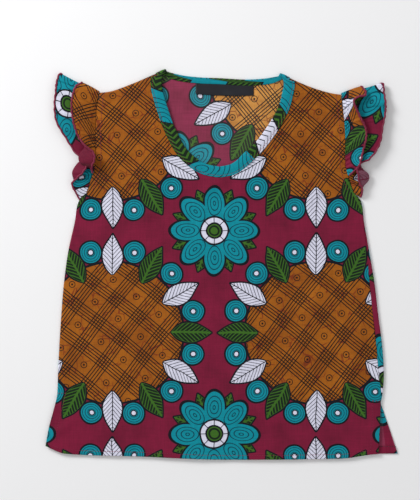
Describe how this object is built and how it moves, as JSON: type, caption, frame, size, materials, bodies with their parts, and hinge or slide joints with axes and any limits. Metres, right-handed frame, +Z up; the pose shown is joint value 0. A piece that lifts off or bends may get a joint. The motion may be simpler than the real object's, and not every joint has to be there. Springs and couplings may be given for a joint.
{
  "type": "blouse",
  "caption": "Child's cotton blouse laid flat: bound V neck, vents at the side seams and gathered two-tier flutter sleeves",
  "frame": {"origin": "on the ground, under the middle of the blouse's bounding box", "axes": "+X to the right as seen from above, +Y from the hem to the neck, +Z up from the ground"},
  "size_m": [0.3806, 0.4214, 0.0196],
  "materials": {
    "printed_cotton": "plain-weave cotton, printed in maroon, ochre, teal and green",
    "binding_cotton": "bias strip of the same printed cotton, mostly teal",
    "woven_label": "smooth woven satin, near black",
    "sleeve_cotton": "the same printed cotton, gathered, with a maroon rolled edge"
  },
  "bodies": {
    "root": {"front_panel": "printed_cotton", "back_panel": "printed_cotton", "neck_band": "binding_cotton", "neck_label": "woven_label", "sleeve_left_upper": "sleeve_cotton", "sleeve_left_lower": "sleeve_cotton", "sleeve_right_upper": "sleeve_cotton", "sleeve_right_lower": "sleeve_cotton"}
  },
  "joints": []
}
